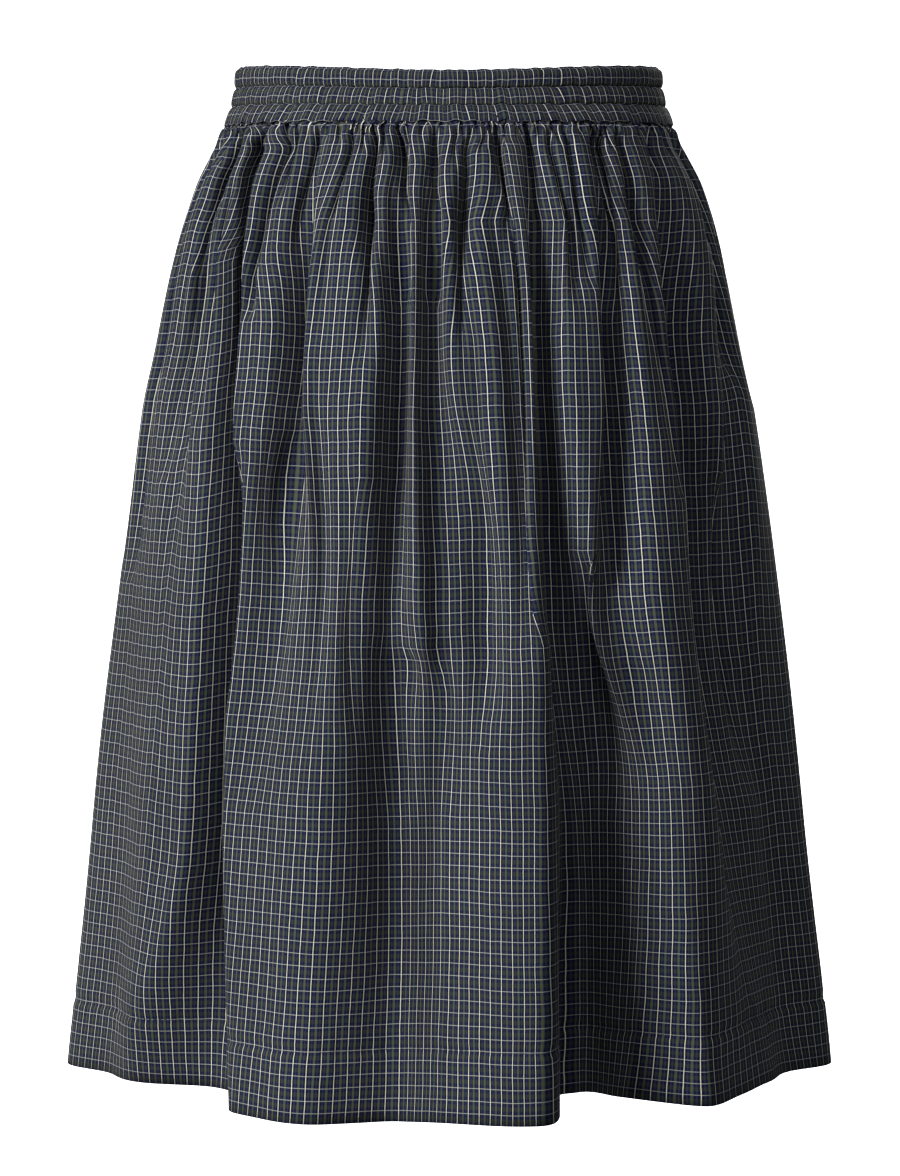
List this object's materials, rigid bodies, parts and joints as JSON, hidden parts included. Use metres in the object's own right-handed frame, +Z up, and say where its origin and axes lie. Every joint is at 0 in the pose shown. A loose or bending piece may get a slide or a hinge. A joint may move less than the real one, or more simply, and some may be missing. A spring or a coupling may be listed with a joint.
{
  "type": "gathered midi skirt",
  "caption": "Gathered midi skirt in a small dark check, with a stitched elastic waistband, standing open and hollow as if worn.",
  "frame": {"origin": "middle of the waist opening, half way down the waistband, where the wearer's waist holds the skirt", "axes": "+Z up towards the waist's top edge, -Y out of the front, +X to the left side of the wearer"},
  "size_m": [0.5042, 0.4252, 0.6603],
  "materials": {
    "waistband_cotton": "matt woven cotton, small navy, olive and cream check, shirred",
    "panel_cotton": "matt woven cotton, small navy, olive and cream check"
  },
  "bodies": {
    "root": {"waistband": "waistband_cotton", "front_panel": "panel_cotton", "back_panel": "panel_cotton"}
  },
  "joints": []
}
